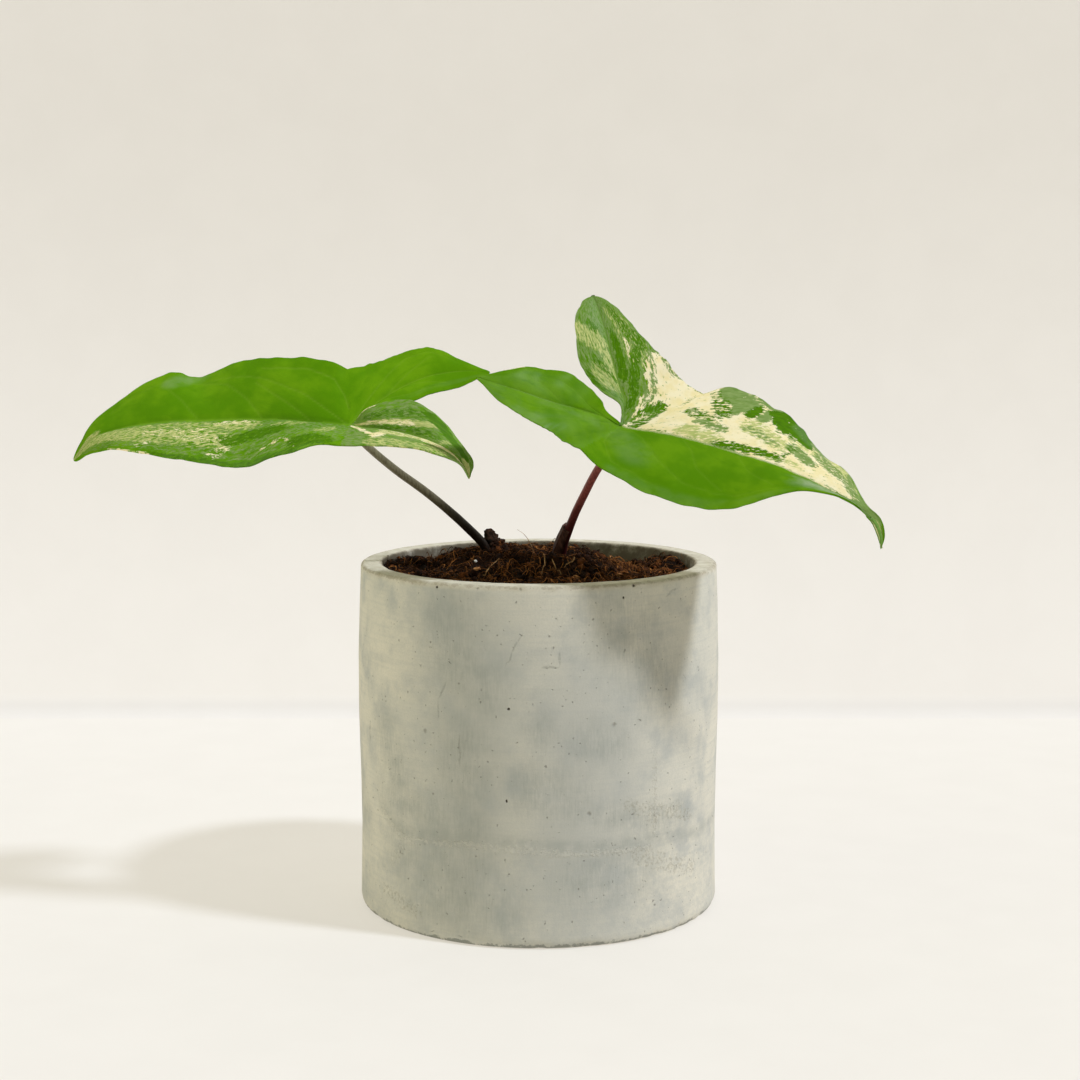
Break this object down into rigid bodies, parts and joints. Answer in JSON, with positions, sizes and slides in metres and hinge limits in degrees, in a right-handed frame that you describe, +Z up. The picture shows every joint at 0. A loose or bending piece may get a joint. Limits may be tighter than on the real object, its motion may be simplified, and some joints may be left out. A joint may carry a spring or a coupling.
{
  "type": "potted syngonium",
  "caption": "Variegated arrowhead plant with arching leaves on slim petioles, growing in coir mix in a round concrete pot.",
  "frame": {"origin": "centre of the pot's flat base, on the pot's axis", "axes": "+Z up along the pot's axis; -Y towards the front, which both leaves face; +X to the right seen from the front"},
  "size_m": [0.2645, 0.1333, 0.205],
  "materials": {
    "concrete": "matte",
    "coir": "matte",
    "old_stem": "matte",
    "petiole_green_brown": "satin",
    "petiole_maroon": "satin",
    "dry_sheath": "matte",
    "leaf": "satin",
    "leaf_variegated": "satin",
    "root": "matte",
    "bark": "matte",
    "perlite": "matte"
  },
  "bodies": {
    "root": {"pot": "concrete", "soil": "coir", "stem_stub": "old_stem", "petiole_left": "petiole_green_brown", "petiole_right": "petiole_maroon", "sheath": "dry_sheath", "leaf_left": "leaf", "leaf_right": "leaf_variegated", "rootlet_front": "root", "rootlet_middle": "root", "rootlet_right": "root", "rootlet_left": "root", "bark_chip_left": "bark", "bark_chip_right": "bark", "bark_chip_front": "bark", "perlite_grain": "perlite"}
  },
  "joints": []
}
